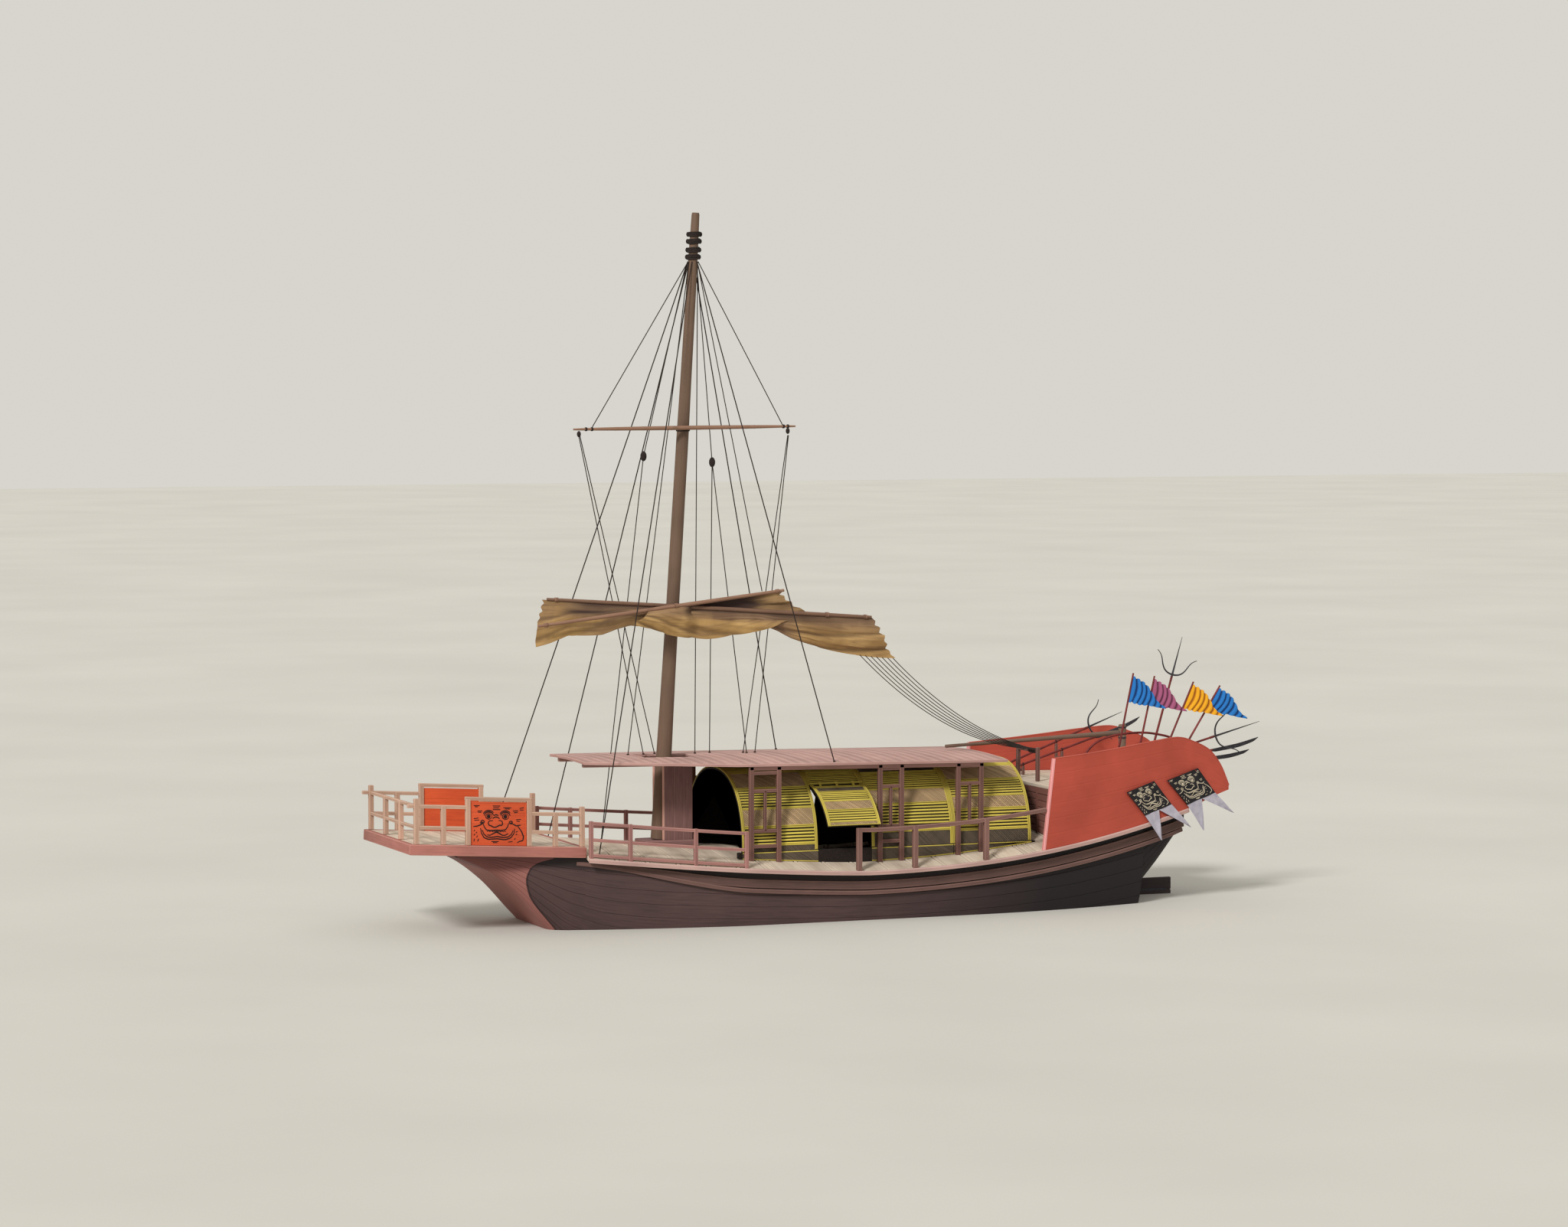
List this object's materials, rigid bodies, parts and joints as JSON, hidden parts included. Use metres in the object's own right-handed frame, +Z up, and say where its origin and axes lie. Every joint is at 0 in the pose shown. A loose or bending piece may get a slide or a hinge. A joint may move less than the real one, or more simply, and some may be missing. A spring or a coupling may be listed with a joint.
{
  "type": "chinese river cargo junk",
  "caption": "Flat-bottomed river cargo junk with raked mast, furled lugsail, arched mat shelter, plank roof, railed bow platform, high stern boards and a deep rudder.",
  "frame": {"origin": "on the waterline, amidships on the centreline", "axes": "+X towards the stern, +Y to starboard, +Z up"},
  "size_m": [24.1642, 5.8, 19.7565],
  "materials": {
    "hull_timber": "oiled and tarred planks",
    "deck_planks": "bare scrubbed planks",
    "platform_timber": "oiled timber",
    "pale_rail": "oiled timber",
    "rose_rail": "oiled timber",
    "dark_rail": "oiled timber",
    "painted_panel": "painted board",
    "bamboo_mat": "woven split bamboo",
    "bamboo_pole": "bare bamboo",
    "roof_planks": "bare planks",
    "tabernacle_timber": "oiled timber",
    "mast_timber": "oiled pole",
    "spar_bamboo": "bare pole",
    "sail_canvas": "dyed cotton",
    "rope": "tarred rope",
    "red_board": "painted board",
    "wall_planks": "oiled planks",
    "banner_black": "cotton",
    "flag_blue": "cotton",
    "flag_mauve": "cotton",
    "flag_yellow": "cotton",
    "red_shaft": "painted pole",
    "dark_iron": "forged",
    "tiller_timber": "bare pole"
  },
  "bodies": {
    "hull": {"hull": "hull_timber", "deck": "deck_planks", "bow_platform": "platform_timber", "bow_rail_port": "pale_rail", "bow_rail_starboard": "pale_rail", "bow_rail_front": "pale_rail", "beast_panel_port": "painted_panel", "beast_panel_starboard": "painted_panel", "fore_rail_port": "rose_rail", "fore_rail_starboard": "rose_rail", "aft_rail_port": "dark_rail", "aft_rail_starboard": "dark_rail", "mat_fore": "bamboo_mat", "mat_mid": "bamboo_mat", "mat_aft": "bamboo_mat", "mat_crown": "bamboo_mat", "mat_sill_port": "bamboo_pole", "mat_sill_starboard": "bamboo_pole", "side_frames_port": "dark_rail", "side_frames_starboard": "dark_rail", "roof_platform": "roof_planks", "tabernacle": "tabernacle_timber", "mast": "mast_timber", "fore_stay": "rope", "fore_guy_port": "rope", "fore_guy_starboard": "rope", "back_stay_port": "rope", "back_stay_starboard": "rope", "bulwark_port": "red_board", "bulwark_starboard": "red_board", "poop_wall": "wall_planks", "poop_deck": "deck_planks", "transom": "wall_planks", "banner_1_port": "banner_black", "banner_1_starboard": "banner_black", "banner_2_port": "banner_black", "banner_2_starboard": "banner_black", "flag_1": "flag_blue", "flag_2": "flag_mauve", "flag_3": "flag_yellow", "flag_4": "flag_blue", "trident_long": "red_shaft", "glaive_long": "red_shaft", "trident_upright": "dark_iron", "trident_stern": "dark_iron", "glaive_stern": "dark_iron", "glaive_low": "dark_iron", "rack_fore": "dark_rail", "rack_middle": "dark_rail", "rack_stern": "dark_rail", "rack_aft": "dark_rail", "sheet_horse": "dark_rail"},
    "rudder": {"rudder": "hull_timber", "tiller": "tiller_timber"},
    "sail": {"sail_spar_upper": "spar_bamboo", "sail_spar_lower": "spar_bamboo", "sail_cloth": "sail_canvas"},
    "yard": {"upper_yard": "spar_bamboo"},
    "flap_port": {"mat_flap_port": "bamboo_mat"},
    "flap_starboard": {"mat_flap_starboard": "bamboo_mat"}
  },
  "joints": [
    {"name": "rudder_turn", "type": "hinge", "parent": "hull", "child": "rudder", "pos_m": [8.8, 0, 0.5], "axis": [0, 0, 1], "range_deg": [-30, 30]},
    {"name": "sail_slew", "type": "hinge", "parent": "hull", "child": "sail", "pos_m": [-4.0513, 0, 8.1], "axis": [0.0647, 0, 0.9979], "range_deg": [-6, 6]},
    {"name": "yard_slew", "type": "hinge", "parent": "hull", "child": "yard", "pos_m": [-3.7596, 0, 12.6], "axis": [0.0647, 0, 0.9979], "range_deg": [-8, 8]},
    {"name": "flap_port_swing", "type": "hinge", "parent": "hull", "child": "flap_port", "pos_m": [-0.09, -1.42314, 3.47767], "axis": [1, 0, 0], "range_deg": [-20, 30]},
    {"name": "flap_starboard_swing", "type": "hinge", "parent": "hull", "child": "flap_starboard", "pos_m": [-0.09, 1.42314, 3.47767], "axis": [-1, 0, 0], "range_deg": [-20, 30]}
  ]
}
